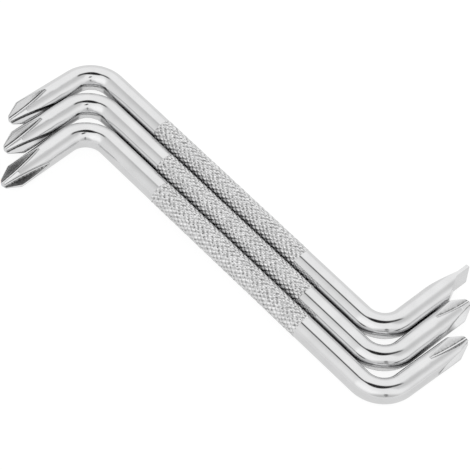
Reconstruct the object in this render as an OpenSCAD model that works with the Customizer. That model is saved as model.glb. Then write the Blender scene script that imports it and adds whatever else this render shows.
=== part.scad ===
// Set of three cranked bar screwdrivers, nested side by side on a table. Units are millimetres.
// Origin: on the table under the middle of the middle bar. X runs along the bars and Z is up.

/* [Bar] */
// Diameter of the smooth bar
bar_d = 7; // [6:0.1:8]
// Distance between the corners of the two bends
shank_len = 117; // [105:1:130]
// Radius of the bends at the centre of the bar
bend_r = 8.1; // [6:0.1:10]
// Usual length of an arm from the corner of its bend
arm_len = 32; // [29:0.1:34]
// Swelling of the bar's radius where it is bent
bend_swell = 0.03; // [0.03:0.01:0.06]
// Gap between neighbouring bars
bar_gap = 0.15; // [0.1:0.01:0.4]

/* [Knurl] */
// Length of the knurled grip
knurl_len = 57; // [45:1:62]
// Pitch of the diamonds along the bar
knurl_pitch = 1.95; // [1.8:0.05:2.4]
// Diamonds around the bar
knurl_count = 15; // [12:1:17]
// Height of the crests over the smooth bar
knurl_rise = 0.08; // [0.04:0.01:0.15]
// Depth of the grooves below the smooth bar
knurl_depth = 0.25; // [0.15:0.01:0.35]
// Plain turned strip at each end of the knurl
knurl_land = 0.2; // [0.1:0.05:0.5]

/* [Phillips points] */
// Angle between the cone of the point and its axis
point_angle = 26.5; // [24:0.5:30]
// Diameter where the cone meets the blunt nose
nose_d = 2.7; // [2.2:0.1:3.2]
// Angle between the cone of the nose and its axis
nose_angle = 64; // [55:1:75]
// Diameter of the flat on the end of the nose
nose_flat_d = 0.6; // [0.4:0.1:0.8]
// Distance from the axis to the flute floor at the end of the point
flute_core = 0.65; // [0.55:0.05:0.75]
// Rise of the flute floor at the end of the point, in degrees
flute_slope = 4; // [2:0.5:6]
// Width of the flute floor
flute_floor_w = 0.55; // [0.4:0.05:0.7]
// Angle between the two sides of a flute
flute_v_angle = 92; // [84:1:100]

/* [Slotted blade] */
// Thickness of the blade at its edge
blade_edge = 1.1; // [0.8:0.1:1.6]
// Length of the even flat on the side towards the crook
blade_inner_even = 3.5; // [2:0.1:5]
// Length of the taper behind that flat
blade_inner_taper = 11; // [9:0.1:12]
// Length of the even flat on the outer side
blade_outer_even = 5; // [3:0.1:7]
// Length of the taper behind that flat
blade_outer_taper = 5.6; // [4:0.1:8]
// Turn of the blade about its arm
blade_roll = -3; // [-15:1:15]

/* [Back driver] */
// Angle inside the left bend
back_left_angle = 91; // [89:0.5:93]
// Angle inside the right bend
back_right_angle = 90; // [89:0.5:92]
// Length of the left arm over the usual length
back_left_extra = -0.8; // [-2:0.1:2]
// Length of the right arm over the usual length
back_right_extra = 0.6; // [-2:0.1:2]
// Length of the flutes on the left point
back_left_flute = 13.5; // [11:0.1:15]
// Turn of the left point about its arm
back_left_roll = 55; // [0:1:89]
// Shift of the knurl along the bar
back_knurl_shift = -1.5; // [-3:0.1:3]

/* [Middle driver] */
// Angle inside the left bend
middle_left_angle = 91; // [90:0.5:91]
// Angle inside the right bend
middle_right_angle = 90; // [90:0.5:91]
// Length of the left arm over the usual length
middle_left_extra = -0.5; // [-2:0.1:2]
// Length of the right arm over the usual length
middle_right_extra = 1.6; // [-2:0.1:2]
// Length of the flutes on the left point
middle_left_flute = 13.6; // [11:0.1:15]
// Length of the flutes on the right point
middle_right_flute = 12.5; // [11:0.1:15]
// Turn of the left point about its arm
middle_left_roll = 55; // [0:1:89]
// Turn of the right point about its arm
middle_right_roll = 26; // [0:1:89]
// Shift of the knurl along the bar
middle_knurl_shift = 0.8; // [-3:0.1:3]

/* [Front driver] */
// Angle inside the left bend
front_left_angle = 88; // [87:0.5:90]
// Angle inside the right bend
front_right_angle = 91.5; // [90:0.5:93]
// Length of the left arm over the usual length
front_left_extra = 0.4; // [-2:0.1:2]
// Length of the right arm over the usual length
front_right_extra = -0.2; // [-2:0.1:2]
// Length of the flutes on the left point
front_left_flute = 14.5; // [11:0.1:15]
// Length of the flutes on the right point
front_right_flute = 14.1; // [11:0.1:15]
// Turn of the left point about its arm
front_left_roll = 64; // [0:1:89]
// Turn of the right point about its arm
front_right_roll = 37; // [0:1:89]
// Shift of the knurl along the bar
front_knurl_shift = 0.1; // [-3:0.1:3]

/* [Hidden] */
$fn = 72;
plating = [0.78, 0.79, 0.81];
right_turn = 90;
half_turn = 180;
bar_r = bar_d / 2;
crest_r = bar_r + knurl_rise;
groove_r = bar_r - knurl_depth;
step_x = bar_d + bar_gap;
step_y = 2 * crest_r + bar_gap;
back_left_arm = arm_len + back_left_extra;
back_right_arm = arm_len + back_right_extra;
middle_left_arm = arm_len + middle_left_extra;
middle_right_arm = arm_len + middle_right_extra;
front_left_arm = arm_len + front_left_extra;
front_right_arm = arm_len + front_right_extra;
nose_r = nose_d / 2;
nose_flat_r = nose_flat_d / 2;
nose_len = (nose_r - nose_flat_r) / tan(nose_angle);
point_len = nose_len + (bar_r - nose_r) / tan(point_angle);
flutes = 4;
flute_rise = bar_r - flute_core;
cut_margin = 1;
knurl_columns = 2 * knurl_count;
knurl_rows = 2 * floor((knurl_len - 2 * knurl_land) / knurl_pitch);
knurl_row_step = (knurl_len - 2 * knurl_land) / knurl_rows;
knurl_stem = 1;
bend_overlap = 0.4;

// Distance from a bend's corner to the end of its curve
function corner_run(angle) = bend_r / tan(angle / 2);

// Where a straight run of bar starts, just inside the swollen bend
function straight_start(angle) = corner_run(angle) - bend_overlap;

// A crest is a grid point whose row and column add up to an odd number
function is_crest(row, column) = (row + column) % 2 == 1;

// Crests stand only inside the knurl, so its first and last rows stay at groove depth
function knurl_r(row, column) =
    row > 0 && row < knurl_rows && is_crest(row, column) ? crest_r : groove_r;

// Rows -1 and knurl_rows + 1 are the ends of the plain stems inside the smooth bar
function knurl_x(row) =
    row < 0 ? -knurl_stem :
    row > knurl_rows ? knurl_len + knurl_stem :
    knurl_land + row * knurl_row_step;

// Column 0 is at the bottom of the bar
function knurl_angle(column) = 270 + column * 360 / knurl_columns;

function knurl_point(row, column) = [
    knurl_x(row),
    knurl_r(row, column) * cos(knurl_angle(column)),
    knurl_r(row, column) * sin(knurl_angle(column))
];

function knurl_index(row, column) =
    (row + 1) * knurl_columns + (column + knurl_columns) % knurl_columns;

// Four sides of the diamond around one crest
function diamond_faces(row, column) = [
    for (turn = [[1, 0, 0, 1], [0, 1, -1, 0], [-1, 0, 0, -1], [0, -1, 1, 0]])
        [
            knurl_index(row, column),
            knurl_index(row + turn[0], column + turn[1]),
            knurl_index(row + turn[2], column + turn[3])
        ]
];

// Two flat triangles between the groove crossings at an end row; inward is the step to the next row
function rim_faces(row, column, inward) = [
    [
        knurl_index(row, column),
        knurl_index(row, column - inward),
        knurl_index(row + inward, column)
    ],
    [
        knurl_index(row, column),
        knurl_index(row + inward, column),
        knurl_index(row, column + inward)
    ]
];

// Plain stem between a row and the next
function stem_faces(row) = [
    for (column = [0 : knurl_columns - 1])
        [
            knurl_index(row, column),
            knurl_index(row + 1, column),
            knurl_index(row + 1, column + 1),
            knurl_index(row, column + 1)
        ]
];

// Knurled band with a plain stem at each end, along X from 0
module knurl_band() {
    columns = [0 : knurl_columns - 1];
    points = [
        for (row = [-1 : knurl_rows + 1])
            for (column = columns)
                knurl_point(row, column)
    ];
    diamonds = [
        for (row = [1 : knurl_rows - 1])
            for (column = columns)
                if (is_crest(row, column))
                    each diamond_faces(row, column)
    ];
    rims = [
        for (column = [1 : 2 : knurl_columns - 1])
            each concat(rim_faces(0, column, 1), rim_faces(knurl_rows, column, -1))
    ];
    start_cap = [for (column = columns) knurl_index(-1, column)];
    end_cap = [for (column = columns) knurl_index(knurl_rows + 1, -column)];
    polyhedron(
        points,
        concat(diamonds, rims, stem_faces(-1), stem_faces(knurl_rows), [start_cap, end_cap])
    );
}

// Smooth round bar along X
module smooth_run(from, to) {
    translate([from, 0, 0])
        rotate([0, right_turn, 0])
            cylinder(h = to - from, r = bar_r);
}

// Bend at the left end of the shank
module bend(angle) {
    translate([corner_run(angle) - shank_len / 2, -bend_r, 0])
        rotate([0, 0, right_turn])
            rotate_extrude(angle = half_turn - angle)
                translate([bend_r, 0])
                    circle(r = bar_r + bend_swell);
}

// Puts an arm that runs along Z from its corner at the left end of the shank
module at_left_corner(angle) {
    translate([-shank_len / 2, 0, 0])
        rotate([0, 0, right_turn - angle])
            rotate([right_turn, 0, 0])
                children();
}

// Rim of the wheel that mills one flute: it touches the flute floor at the end of the point
// and leaves the bar's surface at the flute's length
module flute_wheel(arm, flute) {
    wheel_r = (pow(flute, 2) + pow(flute_rise, 2))
        / (2 * (flute_rise * cos(flute_slope) - flute * sin(flute_slope)));
    rim_half_w = flute_floor_w / 2;
    rim_root_half_w = rim_half_w + bar_d * tan(flute_v_angle / 2);
    translate([flute_core + wheel_r * cos(flute_slope), 0, arm + wheel_r * sin(flute_slope)])
        rotate([right_turn, 0, 0])
            rotate_extrude()
                polygon([
                    [wheel_r, -rim_half_w],
                    [wheel_r, rim_half_w],
                    [wheel_r - bar_d, rim_root_half_w],
                    [wheel_r - bar_d, -rim_root_half_w]
                ]);
}

// Straight arm along Z with a fluted conical point
module phillips_arm(angle, arm, flute, roll) {
    difference() {
        rotate_extrude()
            polygon([
                [0, straight_start(angle)],
                [bar_r, straight_start(angle)],
                [bar_r, arm - point_len],
                [nose_r, arm - nose_len],
                [nose_flat_r, arm],
                [0, arm]
            ]);
        for (quarter = [0 : flutes - 1])
            rotate([0, 0, roll + (quarter + 0.5) * 360 / flutes])
                flute_wheel(arm, flute);
    }
}

// What is ground off one side of the blade: an even flat, then a taper out to the bar's surface
module blade_flat(arm, even, taper) {
    slope = (bar_r - blade_edge / 2) / taper;
    flat_start = arm - even - taper;
    rotate([right_turn, 0, 0])
        linear_extrude(height = bar_d + 2 * cut_margin, center = true)
            polygon([
                [blade_edge / 2, arm + cut_margin],
                [blade_edge / 2, arm - even],
                [bar_r + slope * cut_margin, flat_start - cut_margin],
                [bar_d + slope * cut_margin, flat_start - cut_margin],
                [bar_d + slope * cut_margin, arm + cut_margin]
            ]);
}

// Straight arm along Z with a flat blade
module slotted_arm(angle, arm) {
    difference() {
        translate([0, 0, straight_start(angle)])
            cylinder(h = arm - straight_start(angle), r = bar_r);
        rotate([0, 0, blade_roll])
            blade_flat(arm, blade_inner_even, blade_inner_taper);
        rotate([0, 0, blade_roll + half_turn])
            blade_flat(arm, blade_outer_even, blade_outer_taper);
    }
}

// Knurled shank with both bends; the shank's middle is at the origin
module cranked_shank(left_angle, right_angle, knurl_shift) {
    knurl_start = knurl_shift - knurl_len / 2;
    knurl_end = knurl_shift + knurl_len / 2;
    translate([knurl_start, 0, 0])
        knurl_band();
    smooth_run(straight_start(left_angle) - shank_len / 2, knurl_start);
    smooth_run(knurl_end, shank_len / 2 - straight_start(right_angle));
    bend(left_angle);
    rotate([0, 0, half_turn])
        bend(right_angle);
}

// Bar with a Phillips point on the left arm and a slotted blade on the right arm
module driver_back() {
    color(plating)
        translate([-step_x, step_y, crest_r])
            union() {
                cranked_shank(back_left_angle, back_right_angle, back_knurl_shift);
                at_left_corner(back_left_angle)
                    phillips_arm(back_left_angle, back_left_arm, back_left_flute, back_left_roll);
                rotate([0, 0, half_turn])
                    at_left_corner(back_right_angle)
                        slotted_arm(back_right_angle, back_right_arm);
            }
}

// Bar with a Phillips point on both arms
module driver_middle() {
    color(plating)
        translate([0, 0, crest_r])
            union() {
                cranked_shank(middle_left_angle, middle_right_angle, middle_knurl_shift);
                at_left_corner(middle_left_angle)
                    phillips_arm(
                        middle_left_angle, middle_left_arm, middle_left_flute, middle_left_roll
                    );
                rotate([0, 0, half_turn])
                    at_left_corner(middle_right_angle)
                        phillips_arm(
                            middle_right_angle, middle_right_arm, middle_right_flute, middle_right_roll
                        );
            }
}

// Bar with a Phillips point on both arms
module driver_front() {
    color(plating)
        translate([step_x, -step_y, crest_r])
            union() {
                cranked_shank(front_left_angle, front_right_angle, front_knurl_shift);
                at_left_corner(front_left_angle)
                    phillips_arm(front_left_angle, front_left_arm, front_left_flute, front_left_roll);
                rotate([0, 0, half_turn])
                    at_left_corner(front_right_angle)
                        phillips_arm(
                            front_right_angle, front_right_arm, front_right_flute, front_right_roll
                        );
            }
}

driver_back();
driver_middle();
driver_front();
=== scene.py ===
import math

import bmesh
import bpy
import numpy as np
from mathutils import Matrix, Vector


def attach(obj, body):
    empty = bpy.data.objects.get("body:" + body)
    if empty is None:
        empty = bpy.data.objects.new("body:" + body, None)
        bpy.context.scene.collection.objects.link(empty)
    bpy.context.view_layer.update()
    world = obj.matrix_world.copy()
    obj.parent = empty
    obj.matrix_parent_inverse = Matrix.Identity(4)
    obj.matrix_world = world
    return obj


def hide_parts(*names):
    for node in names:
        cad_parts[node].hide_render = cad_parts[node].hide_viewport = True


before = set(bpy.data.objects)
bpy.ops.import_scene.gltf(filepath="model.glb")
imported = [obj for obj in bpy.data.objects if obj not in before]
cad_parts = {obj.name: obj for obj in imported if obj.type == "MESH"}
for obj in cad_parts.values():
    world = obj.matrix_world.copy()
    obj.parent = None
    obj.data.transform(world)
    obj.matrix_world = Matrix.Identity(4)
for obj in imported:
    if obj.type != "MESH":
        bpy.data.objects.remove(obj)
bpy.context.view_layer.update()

MM = 0.001
rng = np.random.default_rng(7)

# Sizes of the bars in millimetres, as in the CAD model
BAR_R = 3.5
SHANK = 117.0
BEND_R = 8.1
STEP_X, STEP_Y = 7.15, -7.31
AXIS_Z = 3.58
KNURL_LEN = 57.0
KNURL_CELLS = 29
KNURL_COUNT = 15
CREST_R = 3.58
GROOVE_R = 3.25
POINT_ANGLE = math.radians(26.5)
NOSE_R = 1.35
NOSE_ANGLE = math.radians(64)
NOSE_FLAT_R = 0.3
NOSE_LEN = (NOSE_R - NOSE_FLAT_R) / math.tan(NOSE_ANGLE)
FLUTE_CORE = 0.65
FLUTE_SLOPE = math.radians(4)
FLUTE_FLOOR = 0.275
FLUTE_HALF_V = math.radians(46)
BLADE_EDGE = 1.1
# Even length and taper of the blade's two flats
BLADE_INNER = (3.5, 11.0)
BLADE_OUTER = (5.0, 5.6)

# The bars from back to front, with the middle of the knurl along the shank. A cross point has painted
# shade on the floors of its four flutes, in their creases and, for some flutes, on the low and the high
# wall.
BARS = [
    {
        "name": "bar_back", "node": "driver_back", "body": "back_bar", "place": -1, "knurl": -1.5,
        "left": {
            "kind": "phillips", "angle": 91.0, "arm": 31.2, "flute": 13.5, "roll": 55.0,
            "floor_dirt": (0.0, 0.2, 0.0, 0.8), "crease_dirt": 3.2, "wall_dirt": {},
        },
        "right": {"kind": "slotted", "angle": 90.0, "arm": 32.6, "roll": -3.0},
    },
    {
        "name": "bar_middle", "node": "driver_middle", "body": "middle_bar", "place": 0, "knurl": 0.8,
        "left": {
            "kind": "phillips", "angle": 91.0, "arm": 31.5, "flute": 13.6, "roll": 55.0,
            "floor_dirt": (0.0, 0.3, 0.0, 0.8), "crease_dirt": 3.6, "wall_dirt": {},
        },
        "right": {
            "kind": "phillips", "angle": 90.0, "arm": 33.6, "flute": 12.5, "roll": 26.0,
            "floor_dirt": (0.0, 0.0, 0.3, 0.2), "crease_dirt": 1.8, "wall_dirt": {0: (0.75, 1.6)},
        },
    },
    {
        "name": "bar_front", "node": "driver_front", "body": "front_bar", "place": 1, "knurl": 0.1,
        "left": {
            "kind": "phillips", "angle": 88.0, "arm": 32.4, "flute": 14.5, "roll": 64.0,
            "floor_dirt": (0.0, 0.2, 0.0, 0.0), "crease_dirt": 1.8,
            "wall_dirt": {0: (0.0, 0.7), 3: (1.4, 0.8)},
        },
        "right": {
            "kind": "phillips", "angle": 91.5, "arm": 31.8, "flute": 14.1, "roll": 37.0,
            "floor_dirt": (0.0, 0.1, 0.3, 0.1), "crease_dirt": 2.0, "wall_dirt": {0: (0.75, 2.2)},
        },
    },
]

# Columns around a bar: eight half sectors, each with flute floor, crease, flute wall and outer surface
FLOOR_COLS = 3
WALL_COLS = 6
OUTER_COLS = 6
HALF_SECTOR = FLOOR_COLS + 1 + WALL_COLS + OUTER_COLS
COLUMNS = 8 * HALF_SECTOR
# Length below a cut over which the columns spread out evenly again
SPREAD_LEN = 3.0

# Rings along an end: shares of the flat at the tip, distances from the start of a blade flat, counts
CAP_SHARES = (0.6, 0.9)
NEAR_START = (0.9, 0.6, 0.4, 0.25, 0.15, 0.08, 0.03, 0.0)
BEND_RINGS = 32
SHANK_RINGS = 7
# A height that is below every cut, where the bar is plain
BELOW_CUTS = -1e3

# Roundings in millimetres: cut edges, start of the cone and start of the nose
EDGE_SOFT = 0.06
CONE_SOFT = 0.05
NOSE_SOFT = 0.08
# Least angle left for the outer surface beside a cut, and halvings in the search for the cut's edge
TINY = 1e-3
HALVINGS = 40

# Painted shade lines in the creases: width on the wall's side, share of it on the floor's side, share filled
# up
CREASE_W = 0.25
CREASE_ON_FLOOR = 0.4
CREASE_FILL = 0.10
# Painted shade along the edges of the points and of the blade, and in the grooves of the knurl
POINT_EDGE_SHADE = 0.6
BLADE_EDGE_SHADE = 0.5
KNURL_SHADE = 1.2

# Knurl: lattice steps across a diamond, share of a diamond that each flank takes and the flank's curve
FINE = 6
KNURL_AROUND = FINE * KNURL_COUNT
KNURL_ROWS = 2 * KNURL_CELLS * FINE
FLANK = 0.30
FLANK_CURVE = 1.6
# Differences between diamonds in height and tilt, and the room left for them at the crests
DIAMOND_LIFT = 0.02
DIAMOND_TILT = 0.09
CREST_ROOM = 0.02
# Random draws for these differences, and the numbers that pick one for each diamond
DRAWS = 4001
DRAW_SHIFT, DRAW_U, DRAW_V = 400, 1009, 917
# Strip that joins the plain bar to the knurl, and the angle within which points of its two sides are level
SEAM = 0.4
LEVEL = 1e-9
# Distance in metres at which points become one
MERGE_DIST = 2e-7

# Painted shade where two bars lie together, in degrees from the middle height: full strength, then the fade
# on the plain bar, on the tops of the knurl and, added to that, in its pits
GAP_SHADE_HALF = 3.0
GAP_SHADE_SOFT = 24.0
GAP_SHADE_ON_TOPS = 14.0
GAP_SHADE_IN_PITS = 46.0
# Strength of the painted shade on the tops of the knurl, its start and fade at a point, its fade in a bend
GAP_SHADE_TOP_SHARE = 0.65
GAP_SHADE_FROM_TIP = 8.0
GAP_SHADE_FADE = 3.0
GAP_SHADE_BEND_POWER = 9

# Colours of painted shade in hollows and between bars, roughness where a cutter went, and brightness where
# clouded
SHADE_COLOUR = (0.10, 0.10, 0.10, 1)
GAP_SHADE_COLOUR = (0.21, 0.21, 0.214, 1)
MILLED_ROUGH = 0.12
CLOUDED = 0.93

# Floor: half its size in metres; colour and glow for the camera; colour, near glow and far glow in the metal
FLOOR_HALF = 3.0
FLOOR_SEEN = (0.16, 0.90)
FLOOR_IN_METAL = (0.10, 0.74, 0.92)
FLOOR_NEAR, FLOOR_FAR = 70 * MM, 300 * MM
SHADE_REACH = 7 * MM

# Flag in millimetres: its place, what it faces, and its half sizes where it is solid and where it ends
FLAG_AT = np.array([-19.0, -18.5, 73.0])
FLAG_AIM = np.array([-50.4, -34.3, 5.6])
FLAG_RINGS = ((8.5, 3.6), (12.0, 8.0))
FLAG_SIDES = 48

# Camera solved from the photo: its turn, its shift and the set's middle in bar diameters, its focal length
# and the photo's width in pixels, and the width of the sensor in millimetres
CAMERA_TURN = np.array([[0.6752, 0.7313, 0.0970], [0.6350, -0.5092, -0.5810], [-0.3755, 0.4539, -0.8081]])
CAMERA_SHIFT = np.array([-0.007, -1.42, 98.078])
SET_MIDDLE = np.array([0.977, -1.047, 0.0])
FOCAL_PX = 2492.3
PHOTO_PX = 470
SENSOR = 36


def soft_min(a, b, soft):
    """The smaller of two values, rounded where they meet."""
    return 0.5 * (a + b - math.sqrt((a - b) ** 2 + soft * soft))


def outer_radius(z, arm):
    """Radius of the bar, of its conical point or of the point's blunt nose."""
    cone = NOSE_R + (arm - NOSE_LEN - z) * math.tan(POINT_ANGLE)
    nose = NOSE_FLAT_R + (arm - z) * math.tan(NOSE_ANGLE)
    return soft_min(soft_min(BAR_R, cone, CONE_SOFT), nose, NOSE_SOFT)


def flute_section(z, end, floor_dirt, wall_dirt):
    """Half a flute sector at height z, from flute to wing: points with out, across, painted shade and
    milled.
    """
    arm, flute = end["arm"], end["flute"]
    cos_slope, sin_slope = math.cos(FLUTE_SLOPE), math.sin(FLUTE_SLOPE)
    rise = BAR_R - FLUTE_CORE
    wheel = (flute**2 + rise**2) / (2 * (rise * cos_slope - flute * sin_slope))
    centre = FLUTE_CORE + wheel * cos_slope
    drop = arm + wheel * sin_slope - z
    radius = outer_radius(z, arm)
    reach = wheel**2 - drop**2
    if reach <= 0 or centre - math.sqrt(reach) >= radius:
        return None
    tan_v = math.tan(FLUTE_HALF_V)

    def cut(y):
        rim = wheel - max(0.0, y - FLUTE_FLOOR) / tan_v
        return centre - math.sqrt(max(0.0, rim * rim - drop * drop))

    # Where the wall of the flute meets the outer surface
    edge, beyond = 0.0, radius
    for _ in range(HALVINGS):
        y = 0.5 * (edge + beyond)
        if y * y + cut(y) ** 2 < radius * radius:
            edge = y
        else:
            beyond = y
    # A narrow flute has a narrower floor, crease and rounding
    soft = min(EDGE_SOFT, 0.2 * edge)
    flat = min(FLUTE_FLOOR, 0.5 * edge)
    crease = min(CREASE_W, 0.3 * edge)
    clean = flat - CREASE_ON_FLOOR * crease
    # Floor, crease and wall points carry painted shade in the flute
    points = [(cut(0), clean * i / (FLOOR_COLS - 1), floor_dirt, 1.0) for i in range(FLOOR_COLS)]
    points.append((cut(flat) + CREASE_FILL * crease, flat, end["crease_dirt"] + floor_dirt, 1.0))
    for i in range(WALL_COLS):
        y = flat + crease + (edge - soft - flat - crease) * i / (WALL_COLS - 1)
        points.append((cut(y), y, wall_dirt * (1 - i / (WALL_COLS - 1)), 1.0))
    start = math.asin(min(1.0, edge / radius)) + soft / radius
    start = min(start, math.pi / 4 - TINY)
    # The first point of the outer surface carries a painted line of shade along the edge
    for i in range(OUTER_COLS):
        a = start + (math.pi / 4 - start) * i / OUTER_COLS
        points.append((radius * math.cos(a), radius * math.sin(a), POINT_EDGE_SHADE if i == 0 else 0.0, 0.0))
    return points


def plain_section(radius, spread, total, inner, half_angle):
    """Half a sector of round bar; spread 0 gathers the columns as at a cut's end, 1 spaces them evenly."""
    points = []
    for i in range(total):
        even = half_angle * i / total
        gathered = 0.0 if i < inner else half_angle * (i - inner + 0.5) / (total - inner + 0.5)
        a = even * spread + gathered * (1 - spread)
        points.append((radius * math.cos(a), radius * math.sin(a), 0.0, 0.0))
    return points


def sector(low, high, wing, roll):
    """One sector of a ring: the mirror image of its low half and its high half, turned into place."""
    turn = math.radians(roll)
    c, s = math.cos(turn), math.sin(turn)
    down = [(p[0], -p[1], *p[2:]) for p in reversed(low[1:])]
    return [(c * x - s * y, s * x + c * y, *marks) for x, y, *marks in [wing] + down + high]


def phillips_ring(z, end):
    """Ring around an arm with a cross point, at height z along the arm."""
    radius = outer_radius(z, end["arm"])
    corner = radius * math.cos(math.pi / 4)
    wing = (corner, -corner, 0.0, 0.0)
    spread = min(1.0, max(0.0, (end["arm"] - end["flute"] - z) / SPREAD_LEN))
    plain = plain_section(radius, spread, HALF_SECTOR, HALF_SECTOR - OUTER_COLS, math.pi / 4)
    ring = []
    for k, floor_dirt in enumerate(end["floor_dirt"]):
        walls = end["wall_dirt"].get(k, (0.0, 0.0))
        low, high = (flute_section(z, end, floor_dirt, wall_dirt) or plain for wall_dirt in walls)
        ring += sector(low, high, wing, end["roll"] + 45 + 90 * k)
    return ring


def blade_side(z, arm, even, taper):
    """Half of one side of the blade at height z: a ground flat, then the round edge of the bar."""
    total = COLUMNS // 4
    inner = total // 2
    start = arm - even - taper
    if z <= start:
        return plain_section(BAR_R, min(1.0, (start - z) / SPREAD_LEN), total, inner, math.pi / 2)
    half_t = BLADE_EDGE / 2 + (BAR_R - BLADE_EDGE / 2) * max(0.0, arm - even - z) / taper
    edge = math.acos(half_t / BAR_R)
    width = BAR_R * math.sin(edge)
    soft = min(EDGE_SOFT, 0.3 * width)
    points = [(half_t, (width - soft) * i / (inner - 1), 0.0, 1.0) for i in range(inner)]
    first = min(edge + soft / BAR_R, math.pi / 2 - TINY)
    # The first point of the round edge carries a painted line of shade along the blade's edge
    for i in range(total - inner):
        a = first + (math.pi / 2 - first) * i / (total - inner)
        points.append((BAR_R * math.cos(a), BAR_R * math.sin(a), BLADE_EDGE_SHADE if i == 0 else 0.0, 0.0))
    return points


def slotted_ring(z, end):
    """Ring around an arm with a flat blade, at height z along the arm."""
    wing = (0.0, -BAR_R, 0.0, 0.0)
    inner, outer = (blade_side(z, end["arm"], *flat) for flat in (BLADE_INNER, BLADE_OUTER))
    return sector(inner, inner, wing, end["roll"]) + sector(outer, outer, wing, end["roll"] + 180)


def end_heights(end, run):
    """Heights of the rings from the tip down to the bend, close together where the shape changes."""
    arm = end["arm"]
    if end["kind"] == "slotted":
        down = [0.0, 0.05, 0.1, *np.arange(0.4, sum(BLADE_INNER) + 0.6, 0.35)]
        for even, taper in (BLADE_INNER, BLADE_OUTER):
            down += [even - 0.1, even, even + 0.1]
            down += [even + taper - d for d in NEAR_START]
        heights = [arm - d for d in sorted(set(np.round(down, 3)))]
        return heights + list(np.linspace(heights[-1] - 0.5, run, 8))
    cone_start = arm - NOSE_LEN - (BAR_R - NOSE_R) / math.tan(POINT_ANGLE)
    last = arm - end["flute"]
    # Each span has its first height, its last height and its number of rings
    spans = [
        (arm, arm - NOSE_LEN - 0.15, 14),
        (arm - NOSE_LEN - 0.3, cone_start + 0.3, 22),
        (cone_start + 0.22, cone_start - 0.22, 7),
        (cone_start - 0.35, last + 0.6, 34),
        (last + 0.5, last - 0.05, 12),
        (last - 0.6, run, 8),
    ]
    return [z for span in spans for z in np.linspace(*span)]


def painted_gap_shade(sec, sides, soft=GAP_SHADE_SOFT):
    """Painted shade on the sides of a ring that lie against a neighbouring bar."""
    height = np.degrees(np.abs(np.arcsin(np.clip(sec[:, 1] / BAR_R, -1, 1))))
    mark = np.clip((GAP_SHADE_HALF + soft - height) / soft, 0, 1)
    return mark * sum((np.sign(sec[:, 0]) == way) for way in sides)


def end_rings(end, stop_x, sides):
    """Rings from the tip to the knurl, their marks and the tip, for a bar with this end on the left."""
    lean = math.radians(90 - end["angle"])
    along = np.array([math.sin(lean), -math.cos(lean), 0.0])
    across = np.array([math.cos(lean), math.sin(lean), 0.0])
    up = np.array([0.0, 0.0, 1.0])
    corner = np.array([-SHANK / 2, 0.0, 0.0])
    run = BEND_R / math.tan(math.radians(end["angle"]) / 2)
    ring_at = slotted_ring if end["kind"] == "slotted" else phillips_ring
    rings, marks = [], []

    def add(sec, middle, outward, gap_shade):
        rings.append(middle + np.outer(sec[:, 0], outward) + np.outer(sec[:, 1], up))
        marks.append(np.column_stack([sec[:, 2:], painted_gap_shade(sec, sides) * gap_shade]))

    # Painted shade between the bars starts a little way down from the tip and fades out towards the middle
    # of the bend
    gap_shade_start = end["arm"] - GAP_SHADE_FROM_TIP
    for z in end_heights(end, run):
        gap_shade = min(1.0, max(0.0, (gap_shade_start - z) / GAP_SHADE_FADE))
        add(np.array(ring_at(z, end)), corner + along * z, across, gap_shade)
    plain = np.array(ring_at(BELOW_CUTS, end))
    sweep = math.pi - math.radians(end["angle"])
    centre = np.array([-SHANK / 2 + run, -BEND_R, 0.0])
    for i in range(1, BEND_RINGS + 1):
        a = math.pi / 2 + sweep * (1 - i / BEND_RINGS)
        out = np.array([math.cos(a), math.sin(a), 0.0])
        add(plain, centre + out * BEND_R, -out, abs(2 * i / BEND_RINGS - 1) ** GAP_SHADE_BEND_POWER)
    inward = np.array([0.0, -1.0, 0.0])
    for x in np.linspace(-SHANK / 2 + run, stop_x, SHANK_RINGS + 1)[1:]:
        add(plain, np.array([x, 0.0, 0.0]), inward, 1.0)
    return rings, marks, corner + along * end["arm"]


def end_mesh(end, stop_x, sides):
    """Points, faces and marks of one end: closed at the tip, and open where the knurl follows."""
    rings, marks, tip = end_rings(end, stop_x, sides)
    cap = [tip + (rings[0] - tip) * share for share in CAP_SHARES]
    points = np.vstack([tip[None, :]] + cap + rings)
    marks = np.vstack([np.zeros((1 + len(cap) * COLUMNS, 3))] + marks)
    faces = [(0, 1 + c, 1 + (c + 1) % COLUMNS) for c in range(COLUMNS)]
    for r in range(len(cap) + len(rings) - 1):
        a, b = 1 + r * COLUMNS, 1 + (r + 1) * COLUMNS
        for c in range(COLUMNS):
            d = (c + 1) % COLUMNS
            faces.append((b + c, b + d, a + d, a + c))
    return points, faces, marks


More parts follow.
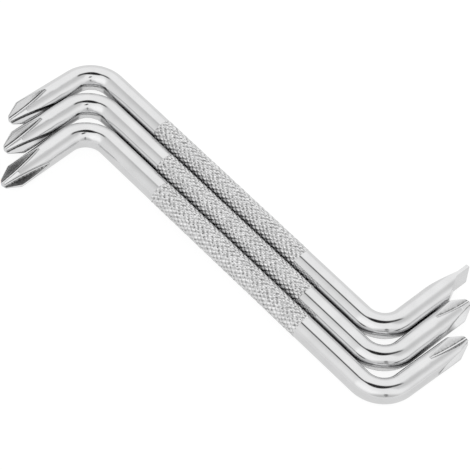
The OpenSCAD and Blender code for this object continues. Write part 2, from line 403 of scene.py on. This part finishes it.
def knurl_mesh(start, sides):
    """Diamond knurl along X on a lattice that follows both sets of grooves; its last points are its rims."""
    around, rows = KNURL_AROUND, KNURL_ROWS
    bottom = math.pi * 1.5
    row, col = np.meshgrid(np.arange(rows + 1), np.arange(around), indexing="ij")
    turn = 2 * col + row % 2
    u = (row + turn) / (2 * FINE)
    v = (row - turn) / (2 * FINE)
    fu, fv = np.floor(u + 1e-9), np.floor(v + 1e-9)
    du, dv = u - fu, v - fv
    near_u, near_v = np.minimum(du, 1 - du), np.minimum(dv, 1 - dv)
    ramp = np.clip(np.minimum(near_u, near_v) / FLANK, 0, 1)
    height = 1 - (1 - ramp) ** FLANK_CURVE
    # Each diamond was pressed a little differently: its own height and its own slight tilt
    key = ((fu + DRAW_SHIFT) * DRAW_U + (fv + DRAW_SHIFT) * DRAW_V).astype(int) % DRAWS
    draw = rng.normal(size=(DRAWS, 3))[key]
    tilt = draw[..., 1] * (du - 0.5) + draw[..., 2] * (dv - 0.5)
    wobble = DIAMOND_LIFT * draw[..., 0] + DIAMOND_TILT * tilt
    radius = GROOVE_R + (CREST_R - CREST_ROOM - GROOVE_R) * height + wobble * ramp
    radius = np.minimum(radius, CREST_R)
    angle = bottom + turn * (math.pi / around)
    x = start + row * (KNURL_LEN / rows)
    points = np.stack([x, radius * np.cos(angle), radius * np.sin(angle)], -1).reshape(-1, 3)

    def at(r, t):
        t = t % (2 * around)
        return r * around + (t - r % 2) // 2

    faces = []
    for r in range(rows - 1):
        for c in range(around):
            t = 2 * c + r % 2
            faces.append((at(r, t), at(r + 1, t + 1), at(r + 2, t), at(r + 1, t - 1)))
    for c in range(around):
        faces.append((at(0, 2 * c + 2), at(1, 2 * c + 1), at(0, 2 * c)))
        t = 2 * c + rows % 2
        faces.append((at(rows, t), at(rows - 1, t + 1), at(rows, t + 2)))
    # Flat walls where the grooves run out at the ends
    low = len(points)
    high = low + around
    rims = []
    for r, rim_x in ((0, start), (rows, start + KNURL_LEN)):
        a = bottom + (2 * np.arange(around) + r % 2) * (math.pi / around)
        rims.append(np.stack([np.full(around, rim_x), BAR_R * np.cos(a), BAR_R * np.sin(a)], -1))
    points = np.vstack([points] + rims)
    for c in range(around):
        d = (c + 1) % around
        faces.append((low + c, low + d, at(0, 2 * d), at(0, 2 * c)))
        faces.append((high + d, high + c, at(rows, 2 * c), at(rows, 2 * d)))
    # Painted shade is thickest where two grooves cross, and there the painted shade between the bars reaches
    # furthest up
    pit = np.append((1 - near_u - near_v).ravel(), np.zeros(2 * around))
    seen_along = np.stack([-points[:, 1], points[:, 2]], -1)
    gap_shade = painted_gap_shade(seen_along, sides, GAP_SHADE_ON_TOPS + GAP_SHADE_IN_PITS * pit)
    gap_shade *= GAP_SHADE_TOP_SHARE + (1 - GAP_SHADE_TOP_SHARE) * pit
    return points, faces, np.column_stack([KNURL_SHADE * pit, np.zeros(len(points)), gap_shade])


def stitch(points, low, high):
    """Triangles between two rings around a bar with different numbers of points; low lies towards -X."""

    def in_order(ring):
        turn = np.arctan2(points[ring, 2], points[ring, 1])
        order = np.argsort(turn)
        return np.append(ring[order], ring[order[0]]), np.append(turn[order], turn[order[0]] + 2 * math.pi)

    (a, turn_a), (b, turn_b) = in_order(low), in_order(high)
    faces = []
    i = j = 0
    while i < len(low) or j < len(high):
        if j == len(high) or (i < len(low) and turn_a[i + 1] <= turn_b[j + 1] + LEVEL):
            faces.append((a[i], a[i + 1], b[j]))
            i += 1
        else:
            faces.append((a[i], b[j + 1], b[j]))
            j += 1
    return faces


def bar_mesh(bar):
    """A whole bar as one mesh with two material slots, plain and knurled, and its marks as attributes."""
    start, stop = bar["knurl"] - KNURL_LEN / 2, bar["knurl"] + KNURL_LEN / 2
    # Sides with a neighbour: 1 towards the front of the shank, -1 towards its back
    sides = [way for way in (1, -1) if abs(bar["place"] + way) <= 1]
    left = end_mesh(bar["left"], start - SEAM, sides)
    right = end_mesh(bar["right"], -stop - SEAM, [-way for way in sides])
    half_turn = np.array([-1.0, -1.0, 1.0])
    right = (right[0] * half_turn, *right[1:])
    points, faces, marks, slots, ends = [], [], [], [], []
    offset = 0
    for (p, f, m), slot in (left, 0), (right, 0), (knurl_mesh(start, sides), 1):
        points.append(p)
        marks.append(m)
        faces += [tuple(i + offset for i in face) for face in f]
        slots += [slot] * len(f)
        offset += len(p)
        ends.append(offset)
    points = np.vstack(points)
    # The plain ends are stitched to the rims of the knurl
    rims = np.arange(ends[2] - 2 * KNURL_AROUND, ends[2]).reshape(2, KNURL_AROUND)
    seams = stitch(points, np.arange(ends[0] - COLUMNS, ends[0]), rims[0])
    seams += stitch(points, rims[1], np.arange(ends[1] - COLUMNS, ends[1]))
    faces += seams
    slots += [0] * len(seams)
    place = np.array([STEP_X * bar["place"], STEP_Y * bar["place"], AXIS_Z])
    mesh = bpy.data.meshes.new(bar["name"])
    mesh.from_pydata(((points + place) * MM).tolist(), [], faces)
    mesh.polygons.foreach_set("material_index", np.array(slots, np.int32))
    mesh.polygons.foreach_set("use_smooth", np.ones(len(faces), bool))
    # The marks: painted shade in the hollows and along the edges, the milled parts, and painted shade
    # between the bars
    for name, values in zip(("painted_shade", "milled", "gap_shade"), np.vstack(marks).astype(np.float32).T):
        mesh.attributes.new(name, "FLOAT", "POINT").data.foreach_set("value", np.ascontiguousarray(values))
    mesh.update()
    # The rims stay sharp
    pairs = np.zeros(2 * len(mesh.edges), np.int32)
    mesh.edges.foreach_get("vertices", pairs)
    on_rim = (pairs >= rims[0, 0]).reshape(-1, 2).all(axis=1)
    mesh.attributes.new("sharp_edge", "BOOLEAN", "EDGE").data.foreach_set("value", on_rim)
    # Columns that run together at the noses become one
    shape = bmesh.new()
    shape.from_mesh(mesh)
    bmesh.ops.remove_doubles(shape, verts=shape.verts, dist=MERGE_DIST)
    shape.to_mesh(mesh)
    shape.free()
    return mesh


def add_object(name, data):
    obj = bpy.data.objects.new(name, data)
    bpy.context.scene.collection.objects.link(obj)
    return obj


def build_bar(bar, metal, knurl_metal):
    mesh = bar_mesh(bar)
    mesh.materials.append(metal)
    mesh.materials.append(knurl_metal)
    obj = add_object(bar["name"], mesh)
    normals = obj.modifiers.new("edges", "WEIGHTED_NORMAL")
    normals.weight = 80
    normals.keep_sharp = True
    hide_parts(bar["node"])
    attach(obj, bar["body"])


def new_material(name):
    mat = bpy.data.materials.new(name)
    mat.use_nodes = True
    return mat, mat.node_tree, mat.node_tree.nodes["Principled BSDF"]


def feed(tree, socket, value):
    """Link another node's output to a socket, or set the socket to a value."""
    if isinstance(value, bpy.types.NodeSocket):
        tree.links.new(value, socket)
    else:
        socket.default_value = value


def add_node(tree, kind, **inputs):
    """New node; its inputs are values or outputs of other nodes, with _ for the spaces in their names."""
    node = tree.nodes.new(kind)
    for name, value in inputs.items():
        feed(tree, node.inputs[name.replace("_", " ")], value)
    return node


def calc(tree, operation, *values, clamp=False):
    node = tree.nodes.new("ShaderNodeMath")
    node.operation = operation
    node.use_clamp = clamp
    for socket, value in zip(node.inputs, values):
        feed(tree, socket, value)
    return node.outputs["Value"]


def remap(tree, value, low, high, to_low=0.0, to_high=1.0, smooth=False):
    """A value between low and high brought to between to_low and to_high, straight or as a smooth step."""
    node = add_node(
        tree, "ShaderNodeMapRange", Value=value, From_Min=low, From_Max=high, To_Min=to_low, To_Max=to_high
    )
    node.interpolation_type = "SMOOTHSTEP" if smooth else "LINEAR"
    return node.outputs["Result"]


def mix(tree, data_type, factor, a, b):
    node = tree.nodes.new("ShaderNodeMix")
    node.data_type = data_type
    for name, value in (("Factor", factor), ("A", a), ("B", b)):
        feed(tree, node.inputs[name], value)
    return node.outputs["Result"]


def attribute(tree, name):
    """The value of a mesh attribute."""
    node = tree.nodes.new("ShaderNodeAttribute")
    node.attribute_name = name
    return node.outputs["Fac"]


def plated_material(name, tint, rough, bump, shade_spots):
    """Bright plating: faint clouding in the colour, polishing marks and tiny pits in the gloss, and painted
    shade.
    """
    mat, tree, shader = new_material(name)
    shader.inputs["Metallic"].default_value = 1.0
    place = add_node(tree, "ShaderNodeTexCoord").outputs["Object"]
    cloud = add_node(tree, "ShaderNodeTexNoise", Vector=place, Scale=180, Detail=4).outputs["Fac"]
    fine = add_node(tree, "ShaderNodeTexNoise", Vector=place, Scale=1400, Detail=3).outputs["Fac"]
    colour = add_node(tree, "ShaderNodeValToRGB", Fac=cloud)
    dull, bright = colour.color_ramp.elements
    dull.position, dull.color = 0.3, [CLOUDED * c for c in tint] + [1]
    bright.position, bright.color = 0.7, list(tint) + [1]
    # Painted shade in the flutes, along the edges of the points and in the knurl, thicker in some spots
    spots = remap(tree, fine, 0.38, 0.62, *shade_spots)
    patchy = calc(tree, "MULTIPLY", attribute(tree, "painted_shade"), spots, clamp=True)
    shaded = mix(tree, "RGBA", patchy, colour.outputs["Color"], SHADE_COLOUR)
    # Painted shade along the sides that touch a neighbour, uneven along the bar
    uneven = remap(tree, cloud, 0.35, 0.65, 0.80, 1.0)
    strip = calc(tree, "MULTIPLY", attribute(tree, "gap_shade"), uneven)
    feed(tree, shader.inputs["Base Color"], mix(tree, "RGBA", strip, shaded, GAP_SHADE_COLOUR))
    # Satin with cutter marks where the points were milled and the blade was ground
    milled = attribute(tree, "milled")
    polish = remap(tree, fine, 0.3, 0.7, *rough)
    feed(tree, shader.inputs["Roughness"], mix(tree, "FLOAT", milled, polish, MILLED_ROUGH))
    lines = add_node(
        tree, "ShaderNodeTexWave", Vector=place, Scale=900, Distortion=2.5, Detail=2, Detail_Scale=0.6
    )
    lines.bands_direction = "Y"
    cut = add_node(
        tree, "ShaderNodeBump", Strength=milled, Distance=0.002 * MM, Height=lines.outputs["Fac"]
    )
    pitted = add_node(
        tree, "ShaderNodeBump", Strength=bump, Distance=0.02 * MM, Height=fine, Normal=cut.outputs["Normal"]
    )
    feed(tree, shader.inputs["Normal"], pitted.outputs["Normal"])
    return mat


def floor_material():
    """White floor, mostly glow, so its shadow is faint; in the metal, painted shade dims its glow under the
    bars and near the middle.
    """
    mat, tree, shader = new_material("floor_white")
    shader.inputs["Roughness"].default_value = 0.9
    shader.inputs["Specular IOR Level"].default_value = 0.0
    path = add_node(tree, "ShaderNodeLightPath").outputs
    camera = path["Is Camera Ray"]
    mirrored = calc(tree, "MAXIMUM", path["Is Glossy Ray"], path["Is Transmission Ray"])
    colour_in_metal, colour_seen = ((*[grey] * 3, 1) for grey in (FLOOR_IN_METAL[0], FLOOR_SEEN[0]))
    feed(tree, shader.inputs["Base Color"], mix(tree, "RGBA", camera, colour_in_metal, colour_seen))
    # Painted shade in the glow seen in the metal, where the bars stand close over the floor
    shade = add_node(tree, "ShaderNodeAmbientOcclusion", Distance=SHADE_REACH)
    shade.samples = 12
    clear = remap(tree, shade.outputs["AO"], 0.05, 0.20, smooth=True)
    # The glow seen in the metal is painted dimmer near the middle of the set
    away = tree.nodes.new("ShaderNodeVectorMath")
    away.operation = "LENGTH"
    feed(tree, away.inputs[0], add_node(tree, "ShaderNodeNewGeometry").outputs["Position"])
    glow = remap(tree, away.outputs["Value"], FLOOR_NEAR, FLOOR_FAR, *FLOOR_IN_METAL[1:], smooth=True)
    in_metal = calc(tree, "MULTIPLY", calc(tree, "MULTIPLY", mirrored, glow), clear)
    level = calc(tree, "ADD", calc(tree, "MULTIPLY", camera, FLOOR_SEEN[1]), in_metal)
    light = add_node(tree, "ShaderNodeEmission", Color=(1, 1, 1, 1), Strength=level)
    both = tree.nodes.new("ShaderNodeAddShader")
    feed(tree, both.inputs[0], shader.outputs["BSDF"])
    feed(tree, both.inputs[1], light.outputs["Emission"])
    feed(tree, tree.nodes["Material Output"].inputs["Surface"], both.outputs["Shader"])
    return mat


def build_floor():
    mesh = bpy.data.meshes.new("floor")
    corners = [(-FLOOR_HALF, -FLOOR_HALF, 0), (FLOOR_HALF, -FLOOR_HALF, 0)]
    corners += [(FLOOR_HALF, FLOOR_HALF, 0), (-FLOOR_HALF, FLOOR_HALF, 0)]
    mesh.from_pydata(corners, [], [(0, 1, 2, 3)])
    mesh.materials.append(floor_material())
    obj = add_object("floor", mesh)


def build_world():
    """Studio of pale panels, with a dark opening overhead and a grey side; all by direction in the room."""
    world = bpy.data.worlds.new("studio")
    bpy.context.scene.world = world
    world.use_nodes = True
    tree = world.node_tree
    back = tree.nodes["Background"]
    back.inputs["Color"].default_value = (1, 1, 1, 1)
    direction = add_node(tree, "ShaderNodeTexCoord").outputs["Generated"]
    x, y, z = add_node(tree, "ShaderNodeSeparateXYZ", Vector=direction).outputs

    def times(value, factor):
        return calc(tree, "MULTIPLY", value, factor)

    def minus(a, b):
        return calc(tree, "SUBTRACT", a, b)

    def off(value, middle):
        """Distance of a value from a middle."""
        return calc(tree, "ABSOLUTE", minus(value, middle))

    def step(value, low, high):
        """0 at low and 1 at high, smooth between; low may be the larger."""
        return remap(tree, value, low, high, smooth=True)

    def lay(level, mask, shade):
        """A shade laid over the level where the mask is 1."""
        return mix(tree, "FLOAT", mask, level, shade)

    def reach(px, py, rx, ry):
        """Distance from a direction given by its x and y, as a share of the radii rx and ry."""
        dx, dy = calc(tree, "DIVIDE", minus(x, px), rx), calc(tree, "DIVIDE", minus(y, py), ry)
        return calc(tree, "SQRT", calc(tree, "ADD", times(dx, dx), times(dy, dy)))

    def both(*masks):
        """The part that all masks share."""
        mask = masks[0]
        for other in masks[1:]:
            mask = times(mask, other)
        return mask

    overhead = step(z, 0.0, 0.2)
    # Pale panels all round, whiter towards the front, greyer low down and on the right
    level = lay(1.03, step(y, -0.35, -0.75), 1.16)
    level = lay(level, step(z, 0.5, 0.05), 0.84)
    level = lay(level, step(minus(times(x, 0.83), times(y, 0.55)), 0.78, 0.98), 0.62)
    # Grey wall on the left, paler towards the front
    wall = both(step(minus(x, times(y, 0.123)), -0.06, -0.43), step(y, 0.12, -0.04))
    level = lay(level, wall, 0.70)
    level = lay(level, both(wall, step(y, -0.2, -0.9)), 0.90)
    # Soft fold between the panels at the back
    fold = both(step(off(x, 0.32), 0.55, 0.05), step(y, 0.75, 0.45), step(y, 0.0, 0.2))
    level = lay(level, both(fold, overhead), 0.70)
    # Dark slits to the left and to the back of the opening, the opening, and a small patch on the right
    slit = both(step(off(y, -0.11), 0.13, 0.04), step(x, -0.44, -0.33), step(x, 0.1, 0.0))
    level = lay(level, both(slit, overhead), 0.04)
    slit = both(step(off(x, 0.08), 0.19, 0.05), step(y, 0.43, 0.36), step(y, 0.0, 0.1))
    level = lay(level, both(slit, overhead), 0.08)
    level = lay(level, both(step(reach(0.03, 0.0, 0.20, 0.24), 1.25, 0.8), overhead), 0.02)
    level = lay(level, both(step(reach(0.80, -0.46, 0.08, 0.08), 1.3, 0.6), overhead), 0.30)
    feed(tree, back.inputs["Strength"], level)


def flag_material():
    mat, tree, shader = new_material("flag_black")
    shader.inputs["Base Color"].default_value = (0.06, 0.06, 0.06, 1)
    shader.inputs["Roughness"].default_value = 1.0
    shader.inputs["Specular IOR Level"].default_value = 0.0
    feed(tree, shader.inputs["Alpha"], attribute(tree, "solid"))
    return mat


def build_flag():
    """Small black card with soft edges over the front bar's left point, seen only in the metal."""
    count = FLAG_SIDES
    turn = np.linspace(0, 2 * math.pi, count, endpoint=False)
    axis = (FLAG_AIM - FLAG_AT) / np.linalg.norm(FLAG_AIM - FLAG_AT)
    u = np.cross([0.0, 1.0, 0.0], axis)
    u /= np.linalg.norm(u)
    w = np.cross(axis, u)
    points = [FLAG_AT[None, :]]
    for a, b in FLAG_RINGS:
        points.append(FLAG_AT + a * np.outer(np.cos(turn), u) + b * np.outer(np.sin(turn), w))
    faces = []
    for k in range(count):
        a, b = 1 + k, 1 + (k + 1) % count
        faces += [(0, a, b), (a, a + count, b + count, b)]
    mesh = bpy.data.meshes.new("flag")
    mesh.from_pydata((np.vstack(points) * MM).tolist(), [], faces)
    solid = np.array([1.0] * (1 + count) + [0.0] * count, np.float32)
    mesh.attributes.new("solid", "FLOAT", "POINT").data.foreach_set("value", solid)
    mesh.materials.append(flag_material())
    obj = add_object("flag", mesh)
    obj.visible_camera = False
    obj.visible_diffuse = False
    obj.visible_shadow = False


def build_camera():
    """Camera at the photo's place; its turn is made exactly square."""
    shift = CAMERA_SHIFT + CAMERA_TURN @ SET_MIDDLE
    u, _, w = np.linalg.svd(CAMERA_TURN)
    turn = u @ w
    place = -turn.T @ shift * (2 * BAR_R) + np.array([0, 0, AXIS_Z])
    data = bpy.data.cameras.new("camera")
    data.sensor_width = SENSOR
    data.lens = SENSOR * FOCAL_PX / PHOTO_PX
    data.clip_start, data.clip_end = 0.01, 20
    cam = add_object("camera", data)
    axes = Matrix(np.column_stack([turn[0], -turn[1], -turn[2]]).tolist())
    cam.matrix_world = Matrix.Translation(Vector(place * MM)) @ axes.to_4x4()
    bpy.context.scene.camera = cam


metal = plated_material("plating", (0.793, 0.794, 0.798), rough=(0.06, 0.12), bump=0.05, shade_spots=(0.35, 0.65))
# The knurl's plating is a brighter copy of the plain one, painted highlight on its diamonds
knurl_metal = plated_material(
    "plating_knurl", (0.96, 0.96, 0.963), rough=(0.05, 0.11), bump=0.10, shade_spots=(0.20, 0.80)
)
for bar in BARS:
    build_bar(bar, metal, knurl_metal)
build_floor()
build_flag()
build_world()
build_camera()
bpy.context.scene.view_settings.view_transform = "Standard"
